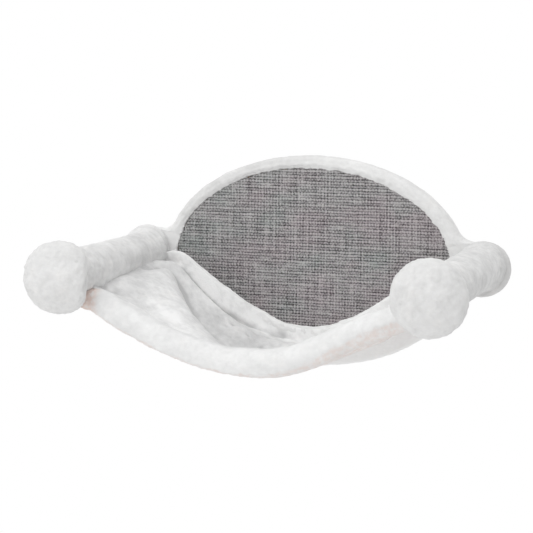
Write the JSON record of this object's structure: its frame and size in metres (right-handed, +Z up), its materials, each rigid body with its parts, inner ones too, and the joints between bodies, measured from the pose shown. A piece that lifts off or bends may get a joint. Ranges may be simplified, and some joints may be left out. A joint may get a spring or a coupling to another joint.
{
  "type": "wall-mounted cat hammock",
  "caption": "Wall hammock for a cat: a plush sling hangs between two padded arms that stand out from an oval board with a sisal scratching mat.",
  "frame": {"origin": "middle of the back panel on the wall plane", "axes": "+Y into the wall, -Y out along the arms, +Z up, +X to the right of someone facing it"},
  "size_m": [0.54, 0.33, 0.275],
  "materials": {
    "plush": "short cut pile, off-white",
    "sisal": "coarse grey weave",
    "padding": "soft white filling",
    "fibreboard": "smooth brown fibreboard",
    "pole_wood": "turned pale wood",
    "steel": "zinc plated"
  },
  "bodies": {
    "root": {"backboard": "fibreboard", "edge_plush": "plush", "sisal_mat": "sisal", "left_pole": "pole_wood", "right_pole": "pole_wood", "pole_inserts": "steel", "arm_bolts": "steel", "arm_washers": "steel", "left_end_disc": "pole_wood", "right_end_disc": "pole_wood", "end_disc_screws": "steel", "left_knob_padding": "padding", "right_knob_padding": "padding", "left_knob_cover": "plush", "right_knob_cover": "plush", "left_sleeve": "plush", "right_sleeve": "plush", "sling_cloth": "plush", "front_hem": "plush", "front_hem_foam": "padding", "rear_hem": "plush", "left_hanger_plate": "steel", "right_hanger_plate": "steel", "hanger_screws": "steel", "edge_staples": "steel"}
  },
  "joints": []
}
